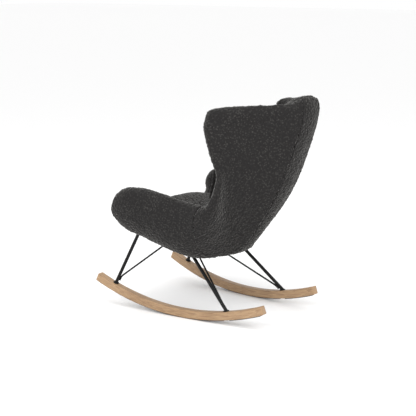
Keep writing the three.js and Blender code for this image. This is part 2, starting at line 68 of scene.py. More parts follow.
CUSHION_LIFT = 28.5  # from the frame's underside to the underside of the seat cushion
PLATE = {"radius": 13, "thick": 4}
LEG_RADIUS = 7.5
BRACE_RADIUS = 4
BOLT = {"shank": 4, "head": 7, "head_height": 5, "sink": 9, "washer": 9, "socket": 3, "tip": 39.85}
BOLT_HOLE = BOLT["shank"] + GAP

# Ribs of the left side: base, rise, lean, rim, thickness of the rim, thickness at the base.
RIBS = [
    ((232, -326, 342), (312, -326, 337), (378, -326, 418), (369, -326, 526), 84, 60),
    ((232, -230, 342), (312, -230, 337), (378, -230, 418), (369, -230, 530), 84, 60),
    ((216, -142, 313), (297, -142, 306), (366, -142, 402), (359, -142, 529), 84, 60),
    ((204, -48, 284), (280, -48, 276), (350, -46, 378), (344, -43, 510), 83, 50),
    ((172, 50, 264), (262, 36, 262), (324, 50, 372), (322, 60, 486), 80, 40),
    ((84, 126, 270), (200, 80, 279), (318, 124, 402), (322, 153, 490), 74, 30),
    ((38, 180, 309), (175, 108, 344), (310, 226, 490), (316, 213, 562), 66, 27),
    ((38, 241, 380), (188, 140, 432), (296, 270, 612), (302, 234, 640), 60, 27),
    ((50, 319, 490), (160, 236, 540), (285, 270, 690), (303, 217, 715), 60, 27),
    ((60, 385, 605), (150, 316, 650), (272, 262, 765), (302, 197, 788), 60, 27),
    ((62, 441, 745), (150, 372, 775), (268, 252, 838), (300, 183, 850), 60, 27),
    ((60, 479, 860), (150, 409, 873), (265, 250, 886), (292, 181, 890), 60, 27),
    ((62, 489, 928), (155, 427, 917), (258, 266, 910), (288, 185, 911), 60, 27),
]
LAST_RIB = len(RIBS) - 1
HIP = 4.6
NOSE = {"x": 350, "z": 455, "start": -228, "length": 89}
CROWN_HEIGHT = 28
CROWN_MIDDLE = 27  # the top rises further towards the middle of the back
CROWN_SPREAD = 60
CORNER = 0.2  # how far the top edge draws back from the rim as it rises, as a share of the rib
BACK_BOW = 5
RIDGE_LEAN = 3  # the back cushion closes a little in front of the wings' top edge, and below it
RIDGE_DROP = 4
RIDGE_PLACE = 0.3  # in the middle, the top edge's place in the thickness of the back
CUSHION_DEPTH = [142, 142, 152, 158, 160, 158, 150, 135, 125, 118, 112, 108, 100]
CUSHION_SHOULDER = {"share": 0.35, "rise": 14, "level": 0.45}  # the bulge between the side and the middle
SEAT_FRONT = {"station": 0.85, "reach": 78, "z": 420}
FABRIC_STEP = 3.2  # spacing of the fabric's mesh


# ---- the side's surface ----
def catmull(points, t):
    """Catmull-Rom curve through points at the positions t, counted in points."""
    p = np.asarray(points, float)
    p = np.vstack([2 * p[0] - p[1], p, 2 * p[-1] - p[-2]])
    low = np.clip(np.floor(t).astype(int), 0, len(points) - 2)
    w = (t - low)[..., None]
    a, b, c, d = (p[low + k] for k in range(4))
    start, end = (c - a) / 2, (d - b) / 2
    return b + w * start + w**2 * (3 * (c - b) - 2 * start - end) + w**3 * (2 * (b - c) + start + end)


def rib_point(t, s):
    a, b, c, d = (catmull([rib[k] for rib in RIBS], t) for k in range(4))
    s = s[..., None]
    return (1 - s) ** 3 * a + 3 * s * (1 - s) ** 2 * b + 3 * s**2 * (1 - s) * c + s**3 * d


def unit(v):
    return v / np.linalg.norm(v, axis=-1, keepdims=True)


def thickness(t, s):
    size = catmull([(rib[4], rib[5]) for rib in RIBS], t)
    return size[..., 1] + (size[..., 0] - size[..., 1]) * s**1.5


def side_point(t, s, depth, beyond=0.0):
    """Points of the left side: depth goes inward from the outer surface, beyond goes past the rim."""
    t, s, depth, beyond = np.broadcast_arrays(*(np.asarray(v, float) for v in (t, s, depth, beyond)))
    step = 0.002
    along = unit(rib_point(t, np.minimum(s + step, 1)) - rib_point(t, np.maximum(s - step, 0)))
    round_ = rib_point(np.minimum(t + step, LAST_RIB), s) - rib_point(np.maximum(t - step, 0), s)
    inward = unit(np.cross(along, round_))
    point = rib_point(t, s) + inward * depth[..., None] + along * beyond[..., None]
    ahead = np.clip((NOSE["start"] - point[..., 1]) / NOSE["length"], 0, 0.9995)
    f = np.sqrt(1 - ahead**2)
    point[..., 0] = NOSE["x"] + (point[..., 0] - NOSE["x"]) * f
    point[..., 2] = NOSE["z"] + (point[..., 2] - NOSE["z"]) * f
    return point


CROWN_TURNS = np.linspace(0, math.radians(88), 15)[1:]


def crown_lift(x):
    return CROWN_HEIGHT + CROWN_MIDDLE * np.exp(-((x / CROWN_SPREAD) ** 4))


def steps(length):
    return max(4, int(round(length / FABRIC_STEP)))


# ---- meshes ----
def to_frame(points):
    return (np.asarray(points, float) - (0, CENTRE_Y, FLOOR_Z)) * MM


def mesh_piece(name, vertices, faces):
    """Object in the frame's metres from vertices in millimetres, its faces turned outward."""
    mesh = bpy.data.meshes.new(name)
    mesh.from_pydata(to_frame(vertices).tolist(), [], faces)
    mesh.update()
    corners = [(face[0], face[k], face[k + 1]) for face in faces for k in range(1, len(face) - 1)]
    a, b, c = np.asarray(vertices, float)[np.array(corners)].transpose(1, 0, 2)
    if np.einsum("ij,ij->", a, np.cross(b, c)) < 0:
        mesh.flip_normals()
    mesh.polygons.foreach_set("use_smooth", [True] * len(mesh.polygons))
    piece = bpy.data.objects.new(name, mesh)
    bpy.context.scene.collection.objects.link(piece)
    return piece


def loft_faces(rows, count):
    faces = []
    for i in range(rows - 1):
        for j in range(count):
            k = (j + 1) % count
            faces.append((i * count + j, i * count + k, (i + 1) * count + k, (i + 1) * count + j))
    return faces


def zip_faces(start, count, flipped):
    """Closes a ring whose halves run side by side, in opposite directions."""
    faces = []
    for j in range(count // 2 - 1):
        quad = (start + j, start + j + 1, start + count - 2 - j, start + count - 1 - j)
        faces.append(quad[::-1] if flipped else quad)
    return faces


def loft_piece(name, rings, flat_end=False):
    """Closed skin through rings of one even length."""
    rings = np.asarray(rings)
    rows, count = rings.shape[:2]
    faces = loft_faces(rows, count) + zip_faces(0, count, True)
    last = (rows - 1) * count
    faces += [tuple(range(last, last + count))] if flat_end else zip_faces(last, count, False)
    return mesh_piece(name, rings.reshape(-1, 3), faces)


def finish_piece(piece, slot, material, *nodes):
    piece.data.materials.clear()
    piece.data.materials.append(material)
    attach(piece, "root")
    if nodes:
        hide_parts(*nodes)


# ---- node helpers ----
def new_material(name, roughness, metallic=0.0):
    material = bpy.data.materials.new(name)
    material.use_nodes = True
    shader = material.node_tree.nodes["Principled BSDF"]
    shader.inputs["Roughness"].default_value = roughness
    shader.inputs["Metallic"].default_value = metallic
    return material, shader


def add(tree, kind, inputs=None, **settings):
    node = tree.nodes.new(kind)
    for key, value in settings.items():
        setattr(node, key, value)
    for key, value in (inputs or {}).items():
        if isinstance(value, bpy.types.NodeSocket):
            tree.links.new(value, node.inputs[key])
        else:
            node.inputs[key].default_value = value
    return node


def ramp(tree, factor, stops):
    node = add(tree, "ShaderNodeValToRGB", {"Fac": factor})
    elements = node.color_ramp.elements
    while len(elements) < len(stops):
        elements.new(0.5)
    for element, (place, color) in zip(elements, stops):
        element.position = place
        element.color = (*color, 1)
    return node.outputs["Color"]


def mapped(tree, scale):
    where = add(tree, "ShaderNodeTexCoord").outputs["Object"]
    return add(tree, "ShaderNodeMapping", {"Vector": where, "Scale": scale}).outputs["Vector"]


def noise(tree, where, scale, detail, output="Fac"):
    node = add(tree, "ShaderNodeTexNoise", {"Vector": where, "Scale": scale, "Detail": detail})
    return node.outputs[output]


def math_node(tree, operation, a, b=0.0):
    return add(tree, "ShaderNodeMath", {0: a, 1: b}, operation=operation).outputs[0]


def weighted(tree, *pairs):
    """Sum of sockets, each times its weight."""
    terms = [math_node(tree, "MULTIPLY", socket, weight) for socket, weight in pairs]
    total = terms[0]
    for term in terms[1:]:
        total = math_node(tree, "ADD", total, term)
    return total


def bump(tree, shader, height, distance, strength=1.0):
    node = add(tree, "ShaderNodeBump", {"Height": height, "Distance": distance, "Strength": strength})
    tree.links.new(node.outputs["Normal"], shader.inputs["Normal"])


# ---- materials ----
def boucle_material():
    """Charcoal boucle: curly loops about 9 mm across, with painted shade in the pits between them and
    painted light on their paler tips.
    """
    material, shader = new_material("boucle", 0.95)
    tree = material.node_tree
    where = mapped(tree, (1, 1, 1))
    wander = noise(tree, where, 90.0, 2.0, "Color")
    shift = add(tree, "ShaderNodeVectorMath", {0: wander, 1: (0.010, 0.010, 0.010)}, operation="MULTIPLY")
    bent = add(tree, "ShaderNodeVectorMath", {0: where, 1: shift.outputs[0]}, operation="ADD").outputs[0]
    loops = add(tree, "ShaderNodeTexVoronoi", {"Vector": bent, "Scale": 112.0}).outputs["Distance"]
    curls = noise(tree, bent, 380.0, 2.0)
    patches = noise(tree, where, 14.0, 3.0)
    height = math_node(tree, "SUBTRACT", math_node(tree, "MULTIPLY", curls, 0.6), loops)
    level = math_node(tree, "ADD", height, math_node(tree, "MULTIPLY", patches, 0.3))
    # Colour follows the loops' height: painted shade darkens the pits and painted light brightens the tips;
    # the slow patches add random tone.
    color = ramp(tree, level, [
        (0.00, (0.018, 0.017, 0.017)), (0.16, (0.028, 0.027, 0.026)),
        (0.32, (0.043, 0.041, 0.039)), (0.50, (0.068, 0.065, 0.061)),
    ])
    tree.links.new(color, shader.inputs["Base Color"])
    shader.inputs["Specular IOR Level"].default_value = 0.1
    shader.inputs["Sheen Weight"].default_value = 0.5
    shader.inputs["Sheen Roughness"].default_value = 0.35
    shader.inputs["Sheen Tint"].default_value = (0.80, 0.79, 0.76, 1)
    bump(tree, shader, height, 0.003, 0.45)
    return material


def ash_material(side):
    """Pale ash: the grain runs along the arc of the runner, with darker pores and slow bands."""
    material, shader = new_material("ash_" + side, 0.5)
    tree = material.node_tree
    toe = math.radians(RUNNER["toe"]) * SIDES[side]
    middle = to_frame((SIDES[side] * RUNNER["x"], 0, RUNNER["radius"]))
    where = add(tree, "ShaderNodeTexCoord").outputs["Object"]
    turned = add(
        tree, "ShaderNodeVectorRotate",
        {"Vector": where, "Center": middle.tolist(), "Axis": (0, 0, 1), "Angle": -toe},
    ).outputs[0]
    shift = add(tree, "ShaderNodeVectorMath", {0: turned, 1: middle.tolist()}, operation="SUBTRACT")
    parts = add(tree, "ShaderNodeSeparateXYZ", {0: shift.outputs[0]}).outputs
    squares = [math_node(tree, "POWER", parts[k], 2.0) for k in (1, 2)]
    radius = math_node(tree, "SQRT", math_node(tree, "ADD", *squares))
    angle = math_node(tree, "ARCTAN2", parts[1], math_node(tree, "MULTIPLY", parts[2], -1.0))
    along = math_node(tree, "MULTIPLY", angle, 1.1)
    grain = add(tree, "ShaderNodeCombineXYZ", {0: parts[0], 1: radius, 2: along}).outputs[0]

    def layer(scale, size, detail):
        place = add(tree, "ShaderNodeMapping", {"Vector": grain, "Scale": scale}).outputs["Vector"]
        return noise(tree, place, size, detail)

    bands = layer((1, 1, 0.05), 95.0, 2.0)
    rings = math_node(tree, "FRACT", math_node(tree, "MULTIPLY", bands, 9.0))
    fibres = layer((1, 1, 0.02), 900.0, 2.0)
    tone = layer((1, 1, 0.4), 9.0, 2.0)
    level = weighted(tree, (rings, 0.38), (fibres, 0.42), (tone, 0.35))
    color = ramp(tree, level, [
        (0.25, (0.48, 0.320, 0.180)), (0.50, (0.37, 0.235, 0.125)),
        (0.70, (0.27, 0.160, 0.082)), (0.88, (0.15, 0.085, 0.042)),
    ])
    tree.links.new(color, shader.inputs["Base Color"])
    shader.inputs["Coat Weight"].default_value = 0.12
    shader.inputs["Coat Roughness"].default_value = 0.4
    pores = math_node(tree, "SUBTRACT", fibres, math_node(tree, "MULTIPLY", rings, 0.4))
    bump(tree, shader, pores, 0.0003, 0.6)
    return material


def speckled_material(name, dark, light, scale, depth, roughness, metallic=0.0):
    """Fine even grain in colour and relief, for paint, rubber, zinc and lining."""
    material, shader = new_material(name, roughness, metallic)
    tree = material.node_tree
    where = mapped(tree, (1, 1, 1))
    grain = noise(tree, where, scale, 4.0)
    cloud = noise(tree, where, 18.0, 2.0)
    level = weighted(tree, (grain, 0.6), (cloud, 0.4))
    tree.links.new(ramp(tree, level, [(0.3, dark), (0.7, light)]), shader.inputs["Base Color"])
    limits = {"To Min": roughness - 0.07, "To Max": roughness + 0.07}
    rough = add(tree, "ShaderNodeMapRange", {"Value": cloud, **limits})
    tree.links.new(rough.outputs[0], shader.inputs["Roughness"])
    bump(tree, shader, grain, depth, 0.6)
    return material


def plywood_material():
    material, shader = new_material("plywood", 0.65)
    tree = material.node_tree
    long_grain = noise(tree, mapped(tree, (120, 6, 120)), 3.0, 4.0)
    plies = add(
        tree, "ShaderNodeTexWave", {"Vector": mapped(tree, (1, 1, 1)), "Scale": 110.0, "Distortion": 0.6},
        bands_direction="Z",
    ).outputs["Fac"]
    level = weighted(tree, (long_grain, 0.7), (plies, 0.3))
    color = ramp(tree, level, [
        (0.3, (0.58, 0.42, 0.25)), (0.6, (0.46, 0.31, 0.17)), (0.8, (0.32, 0.2, 0.1)),
    ])
    tree.links.new(color, shader.inputs["Base Color"])
    bump(tree, shader, long_grain, 0.0002, 0.5)
    return material


BOUCLE = boucle_material()
ASH = {side: ash_material(side) for side in SIDES}
BLACK = speckled_material("black_powder_coat", (0.003,) * 3, (0.008,) * 3, 1400, 0.00012, 0.5)
BLACK.node_tree.nodes["Principled BSDF"].inputs["Specular IOR Level"].default_value = 0.2
ZINC = speckled_material("zinc", (0.30, 0.31, 0.32), (0.52, 0.53, 0.54), 900, 0.00005, 0.38, 0.9)
RUBBER = speckled_material("grip_rubber", (0.016, 0.013, 0.011), (0.045, 0.038, 0.032), 700, 0.0003, 0.85)
LINING = speckled_material("lining", (0.008, 0.008, 0.009), (0.022, 0.022, 0.023), 1100, 0.0003, 0.9)
PLYWOOD = plywood_material()


# ---- boucle relief ----
def loop_texture():
    texture = bpy.data.textures.new("loops", "VORONOI")
    texture.noise_scale = 0.0088
    texture.noise_intensity = 1.0
    return texture


def swell_texture():
    texture = bpy.data.textures.new("swell", "CLOUDS")
    texture.noise_scale = 0.045
    texture.noise_depth = 1
    return texture


RELIEF = ((swell_texture(), 0.0035, 0.5), (loop_texture(), -0.0050, 0.45))  # texture, strength, middle


def fluff(piece):
    """Relief of the loops on the piece's mesh, on top of a slow unevenness."""
    for texture, strength, middle in RELIEF:
        relief = piece.modifiers.new(texture.name, "DISPLACE")
        relief.texture = texture
        relief.texture_coords = "GLOBAL"
        relief.strength = strength
        relief.mid_level = middle


# ---- padding ----
VOXEL = 0.0055
BACK_SWELL = {"cap": 0.007, "facing": (0, -0.75, 0.6)}  # towards the sitter
SEAT_SWELL = {"cap": 0.009, "facing": (0, -0.5, 0.85)}
CLOTH_PRESSURE = 4
CLOTH_FRAMES = 20


def apply_modifier(piece, modifier):
    bpy.context.view_layer.objects.active = piece
    bpy.ops.object.modifier_apply(modifier=modifier.name)


def read_rows(collection, attribute):
    """One attribute of a mesh's vertices or normals, as rows of three."""
    data = np.empty(len(collection) * 3)
    collection.foreach_get(attribute, data)
    return data.reshape(-1, 3)


def press_out(piece, cap, facing):
    """Cloth simulation: the padding presses the cover out by up to cap metres, where it faces that way."""
    even = piece.modifiers.new("even", "REMESH")
    even.mode, even.voxel_size, even.use_smooth_shade = "VOXEL", VOXEL, True
    apply_modifier(piece, even)
    mesh = piece.data
    normals = read_rows(mesh.vertex_normals, "vector")
    free = np.clip(normals @ unit(np.array(facing, float)) * 1.5, 0, 1)[:, None]
    start = read_rows(mesh.vertices, "co") - normals * free * cap / 2
    mesh.vertices.foreach_set("co", start.ravel())
    held = piece.vertex_groups.new(name="held")
    held.add(np.flatnonzero(free[:, 0] == 0).tolist(), 1.0, "REPLACE")
    cloth = piece.modifiers.new("padding", "CLOTH")
    cloth.settings.use_pressure = True
    cloth.settings.uniform_pressure_force = CLOTH_PRESSURE
    cloth.settings.vertex_group_mass = held.name
    cloth.settings.effector_weights.gravity = 0
    cloth.point_cache.frame_end = CLOTH_FRAMES
    for step in range(1, CLOTH_FRAMES + 1):
        bpy.context.scene.frame_set(step)
    evaluated = piece.evaluated_get(bpy.context.evaluated_depsgraph_get())
    swollen = read_rows(evaluated.data.vertices, "co")
    piece.modifiers.remove(cloth)
    bpy.context.scene.frame_set(1)
    move = swollen - start
    length = np.maximum(np.linalg.norm(move, axis=1, keepdims=True), 1e-9)
    final = start + move * np.minimum(1, cap / length) * free
    mesh.vertices.foreach_set("co", final.ravel())
    mesh.update()
    piece.vertex_groups.clear()
    smooth = piece.modifiers.new("smooth", "SUBSURF")
    smooth.levels = smooth.render_levels = 1
    apply_modifier(piece, smooth)


# ---- covers of the sides ----
COVER_BASE = 0.012  # where the covers start, as a share of the rib


def cover_ring(t):
    """Ring round the side at one station: half of the foot, the outside, the roll, and back inside."""
    base = COVER_BASE
    outside = np.linspace(base, 1, steps(400))
    turn = np.linspace(0, math.pi / 2, steps(90) // 2 + 2)[1:]
    foot_depth = np.linspace(0.5, 0.03, 5)
    full, foot = thickness(t, 1.0), thickness(t, base)
    half = [(base, foot * d, 0.0) for d in foot_depth] + [(s, 0.0, 0.0) for s in outside]
    half += [(1.0, full / 2 * (1 - math.cos(a)), full / 2 * math.sin(a)) for a in turn]
    other = [(base, foot * (1 - d), 0.0) for d in foot_depth]
    other += [(s, float(thickness(t, s)), 0.0) for s in outside]
    other += [(1.0, full / 2 * (1 + math.cos(a)), full / 2 * math.sin(a)) for a in turn]
    s, depth, beyond = np.array(half + other[::-1]).T
    return s, depth, beyond


def cover_rings(stations, tucks):
    """tucks gives, for some stations, how far the skin is drawn in there, for a seam."""
    rings = []
    for t, tuck in zip(stations, tucks):
        t = np.float64(t)
        s, depth, beyond = cover_ring(t)
        middle = thickness(t, s) / 2
        drawn = depth + np.sign(middle - depth) * np.minimum(tuck, abs(middle - depth))
        rings.append(side_point(t, s, drawn, np.maximum(beyond - tuck, 0) if tuck else beyond))
    return rings


NOSE_PITCH = RIBS[1][0][1] - RIBS[0][0][1]
SEAM_STEPS = [0.002, 0.010, 0.022, 0.040]  # distances from the hip seam, in ribs
SEAM_TUCKS = [5.0, 2.6, 1.0, 0.2]


def arm_rings():
    nose = np.sin(np.linspace(math.radians(87), 0, steps(NOSE["length"] * 1.3)))
    stations = list(1 - nose[:-1] * NOSE["length"] / NOSE_PITCH)
    stations = [max(t, 0.0) for t in stations]
    stations = sorted(set(stations)) + list(np.linspace(1, HIP - 0.06, steps(330)))
    tucks = [0.0] * len(stations) + SEAM_TUCKS[::-1]
    return cover_rings(stations + [HIP - d for d in SEAM_STEPS[::-1]], tucks)


def wing_crown():
    """The last ring rises while it closes over the top and draws back from the front corner."""
    s, depth, beyond = cover_ring(np.float64(LAST_RIB))
    rings = []
    for turn in CROWN_TURNS:
        close = math.cos(turn)
        place = s * (1 - CORNER * (1 - close))
        middle = thickness(np.float64(LAST_RIB), s) / 2
        risen = side_point(np.float64(LAST_RIB), place, middle + (depth - middle) * close, beyond * close)
        risen[:, 2] += crown_lift(risen[:, 0]) * math.sin(turn)
        rings.append(risen)
    return rings


def wing_rings():
    stations = list(np.linspace(HIP + 0.06, LAST_RIB, steps(860)))
    tucks = SEAM_TUCKS + [0.0] * len(stations)
    rings = cover_rings([HIP + d for d in SEAM_STEPS] + stations, tucks)
    return rings + wing_crown()


def mirrored(rings, side):
    return np.asarray(rings) * (side, 1, 1)


for side, sign in SIDES.items():
    arm = loft_piece(side + "_arm_cover", mirrored(arm_rings(), sign))
    finish_piece(arm, "boucle", BOUCLE, side + "_arm_panel", side + "_arm_pad")
    wing = loft_piece(side + "_wing_cover", mirrored(wing_rings(), sign))
    finish_piece(wing, "boucle", BOUCLE, side + "_wing_panel", side + "_wing_pad")
    for piece in (arm, wing):
        fluff(piece)


# ---- back and seat ----
def centre_frame(t):
    """Inward direction and place of the middle of the back or seat at a station."""
    step = 0.01
    t = np.float64(t)
    here = rib_point(t, np.float64(0))
    ahead = rib_point(np.minimum(t + step, LAST_RIB), np.float64(0)) - rib_point(t - step, np.float64(0))
    inward = unit(np.array([0, -ahead[2], ahead[1]]))
    return inward, np.array([0, here[1], here[2]])


def bezier(a, b, c, d, s):
    s = s[:, None]
    return (1 - s) ** 3 * a + 3 * s * (1 - s) ** 2 * b + 3 * s**2 * (1 - s) * c + s**3 * d


def inner_half(t, reach, gap):
    """Front of a cushion from the foot of the side's padding to the middle: over the padding, then free."""
    inward, middle = centre_frame(t)
    s = np.linspace(0.02, reach, 40)
    resting = side_point(t, s, thickness(t, s) + gap)
    edge = resting[-1]
    top = middle + inward * np.interp(t, range(LAST_RIB + 1), CUSHION_DEPTH)
    bulge = CUSHION_SHOULDER
    shoulder = edge + (np.array([0, top[1], top[2]]) - edge) * bulge["share"] + inward * bulge["rise"]
    level = np.array([edge[0] * bulge["level"], top[1], top[2]])
    return np.vstack([resting, bezier(edge, shoulder, level, top, np.linspace(0, 1, 44)[1:])])


def back_ring(t):
    inward, middle = centre_frame(t)
    corner = side_point(t, COVER_BASE, 0.0)
    front = inner_half(t, 0.5, 2.0)
    share = np.linspace(1, 0, len(front))
    edge = np.array([corner[0] - COVER_GAP, corner[1], corner[2]])
    bow = (1 - share**2)[:, None]
    behind = edge + (middle - edge) * (1 - share)[:, None] - inward * BACK_BOW * bow
    half_front = front * (-1, 1, 1)
    half_behind = behind * (-1, 1, 1)
    outer_row = np.vstack([half_behind, behind[-2::-1]])
    inner_row = np.vstack([half_front, front[-2::-1]])
    return np.vstack([outer_row, inner_row[::-1]])


def ridge(x):
    """The line along which the back closes over the top, as y and z at each x."""
    t, s = np.float64(LAST_RIB), np.linspace(COVER_BASE, 0.6, 60)
    line = side_point(t, s, thickness(t, s) / 2 + RIDGE_LEAN)
    inward, middle = centre_frame(t)
    centre = middle + inward * CUSHION_DEPTH[-1] * RIDGE_PLACE
    x = abs(x)
    share = np.clip(x / line[0, 0], 0, 1) ** 2
    rows = []
    for k in (1, 2):
        beside = np.interp(x, line[:, 0], line[:, k])
        rows.append(np.where(share < 1, centre[k] + (line[0, k] - centre[k]) * share, beside))
    return rows


def back_crown(ring):
    """Rings that close the last one over the top, onto the ridge that the wings share."""
    x = ring[:, 0]
    top = np.stack([x, *ridge(x)], axis=1)
    rings = []
    for turn in CROWN_TURNS:
        risen = top + (ring - top) * math.cos(turn)
        risen[:, 2] += (crown_lift(x) - RIDGE_DROP * (abs(x) > abs(x[0]) + 1)) * math.sin(turn)
        rings.append(risen)
    return rings


def back_rings():
    stations = np.linspace(HIP + 0.02, LAST_RIB, steps(860))
    rings = [back_ring(t) for t in stations]
    return rings + back_crown(rings[-1])


back = loft_piece("back_cover", back_rings(), flat_end=True)
finish_piece(back, "boucle", BOUCLE, "back_panel", "back_cushion")
press_out(back, **BACK_SWELL)
fluff(back)


def frame_height(y):
    """Height of the underside of the frame, which slopes down to the back."""
    return FRAME_TOP["front"][2] - (y - FRAME_TOP["front"][1]) * FRAME_SLOPE


def seat_ring(t):
    """Ring round the seat cushion: along its underside, then back over its top."""
    front = inner_half(t, 0.62, 3.0)
    low = front[0]
    board = frame_height(low[1]) + CUSHION_LIFT
    corner = np.array([low[0] - 3, low[1], max(board, low[2])])
    half = np.vstack([corner, front[1:]])
    share = np.linspace(1, 0, len(half))
    under = np.tile(corner, (len(half), 1))
    under[:, 0] = corner[0] * share
    inner_row = np.vstack([half * (-1, 1, 1), half[-2::-1]])
    outer_row = np.vstack([under * (-1, 1, 1), under[-2::-1]])
    return np.vstack([outer_row, inner_row[::-1]])


def seat_rings():
    stations = np.linspace(SEAT_FRONT["station"], HIP - 0.03, steps(330))
    rings = [seat_ring(t) for t in stations]
    nose = []
    for turn in np.linspace(math.radians(86), 0, 24)[:-1]:
        ahead = rings[0].copy()
        ahead[:, 1] -= SEAT_FRONT["reach"] * math.sin(turn)
        ahead[:, 2] = SEAT_FRONT["z"] + (ahead[:, 2] - SEAT_FRONT["z"]) * math.cos(turn)
        nose.append(ahead)
    return nose + rings


seat = loft_piece("seat_cover", seat_rings())
finish_piece(seat, "boucle", BOUCLE, "seat_cushion")
press_out(seat, **SEAT_SWELL)
fluff(seat)


# ---- padded band round the front of the seat board ----
BAND_PATH = [(231, -190), (231, -255), (227, -280), (212, -295), (190, -300), (95, -301), (0, -301)]
BAND = {"half_thick": 6.5, "half_height": 19, "lift": 19}


def seat_band():
    path = np.array([*BAND_PATH, *[(-x, y) for x, y in BAND_PATH[-2::-1]]], float)
    path = catmull(path, np.linspace(0, len(path) - 1, 240))
    along = unit(np.gradient(path, axis=0))
    rings = []
    for (x, y), (ax, ay) in zip(path, along):
        z = frame_height(y) + BAND["lift"]
        ring = []
        for a in np.linspace(0, 2 * math.pi, 24, endpoint=False):
            out = BAND["half_thick"] * math.cos(a)
            rise = BAND["half_height"] * np.sign(math.sin(a)) * abs(math.sin(a)) ** 0.7
            ring.append((x + ay * out, y - ax * out, z + rise))
        rings.append(ring)
    return rings


band = loft_piece("seat_front_band", seat_band())
finish_piece(band, "boucle", BOUCLE)

# ---- runners ----
TOE = math.radians(RUNNER["toe"])
WOOD_BOTTOM = RUNNER["radius"] - STRIP_THICK - GAP
WOOD_TOP = WOOD_BOTTOM - RUNNER["height"]


def runner_point(degrees, radius, sideways):
    a = math.radians(degrees)
    along = radius * math.sin(a)
    return np.array([
        RUNNER["x"] - along * math.sin(TOE) + sideways * math.cos(TOE),
        along * math.cos(TOE) + sideways * math.sin(TOE),
        RUNNER["radius"] - radius * math.cos(a),
    ])


def runner_inward(degrees):
    a = math.radians(degrees)
    return np.array([math.sin(a) * math.sin(TOE), -math.sin(a) * math.cos(TOE), math.cos(a)])


def lathe_piece(name, profile, origin, direction, sides=40):
    """Turned solid from [radius, height] pairs; a pair on the axis becomes one point."""
    direction = unit(np.asarray(direction, float))
    across = unit(np.cross(direction, (1.0, 0.2, 0.1)))
    other = np.cross(direction, across)
    vertices, rows = [], []
    for radius, height in profile:
        count = 1 if radius == 0 else sides
        rows.append(range(len(vertices), len(vertices) + count))
        for j in range(count):
            a = 2 * math.pi * j / sides
            ray = across * math.cos(a) + other * math.sin(a)
            vertices.append(np.asarray(origin) + direction * height + ray * radius)
    faces = []
    for low, high in zip(rows, rows[1:]):
        for j in range(sides):
            k = (j + 1) % sides
            ring = [low[j % len(low)], low[k % len(low)], high[k % len(high)], high[j % len(high)]]
            corners = list(dict.fromkeys(ring))
            if len(corners) > 2:
                faces.append(tuple(corners))
    return mesh_piece(name, np.array(vertices), faces)


def runner_section():
    """Rounded rectangle as pairs of sideways offset and radius."""
    half, edge = RUNNER["width"] / 2, RUNNER["edge"]
    pairs = []
    for cx, cy, start in (
        (half - edge, WOOD_BOTTOM - edge, 0), (-half + edge, WOOD_BOTTOM - edge, 90),
        (-half + edge, WOOD_TOP + edge, 180), (half - edge, WOOD_TOP + edge, 270),
    ):
        for a in np.radians(np.linspace(start, start + 90, 6)):
            pairs.append((cx + edge * math.cos(a), cy + edge * math.sin(a)))
    return pairs


def shade_by_angle(piece, degrees):
    piece.data.set_sharp_from_angle(angle=math.radians(degrees))


def runner_piece(side, sign):
    section = runner_section()
    ends = [(RUNNER["front"], 2.0), (RUNNER["front"] + 0.04, 0.6), (RUNNER["front"] + 0.12, 0.0)]
    ends_back = [(RUNNER["rear"] - 0.12, 0.0), (RUNNER["rear"] - 0.04, 0.6), (RUNNER["rear"], 2.0)]
    middle = [(a, 0.0) for a in np.linspace(RUNNER["front"] + 0.3, RUNNER["rear"] - 0.3, 150)]
    centre = (WOOD_BOTTOM + WOOD_TOP) / 2
    rings = []
    for degrees, shrink in ends + middle + ends_back:
        f = 1 - shrink / (RUNNER["width"] / 2)
        rings.append([runner_point(degrees, centre + (r - centre) * f, x * f) for x, r in section])
    rings = mirrored(rings, sign)
    rows, count = rings.shape[:2]
    faces = loft_faces(rows, count)
    faces += [tuple(range(count))[::-1], tuple(range((rows - 1) * count, rows * count))]
    piece = mesh_piece(side + "_rocker", rings.reshape(-1, 3), faces)
    for degrees in FEET.values():
        origin = runner_point(degrees, WOOD_BOTTOM, 0) * (sign, 1, 1)
        direction = runner_inward(degrees) * (sign, 1, 1)
        washer, sink = BOLT["washer"], BOLT["sink"]
        profile = [(0, -5), (washer, -5), (washer, sink), (BOLT_HOLE, sink), (BOLT_HOLE, 80), (0, 80)]
        cutter = lathe_piece("cutter", profile, origin, direction)
        cut = piece.modifiers.new("bolt_hole", "BOOLEAN")
        cut.object = cutter
        cut.solver = "EXACT"
        apply_modifier(piece, cut)
        bpy.data.objects.remove(cutter)
    shade_by_angle(piece, 40)
    return piece


# ---- legs ----
FRAME_UP = unit(np.array([0.0, FRAME_SLOPE, 1.0]))


def tube_piece(name, points, radius, start, end, sides=28):
    """Round tube through points, its ends cut on planes with the normals start and end."""
    points = [np.asarray(p, float) for p in points]
    rings = []
    for i, point in enumerate(points):
        along = unit(points[min(i + 1, len(points) - 1)] - points[max(i - 1, 0)])
        normal = start if i == 0 else end if i == len(points) - 1 else along
        across = unit(np.cross((1.0, 0, 0), along))
        up = np.cross(along, across)
        ring = []
        for j in range(sides):
            a = 2 * math.pi * j / sides
            offset = radius * (across * math.cos(a) + up * math.sin(a))
            ring.append(point + offset - along * (offset @ normal) / (along @ normal))
        rings.append(ring)
    rings = np.array(rings)
    faces = loft_faces(len(rings), sides)
    faces += [tuple(range(sides))[::-1], tuple(range((len(rings) - 1) * sides, len(rings) * sides))]
    piece = mesh_piece(name, rings.reshape(-1, 3), faces)
    shade_by_angle(piece, 50)
    return piece


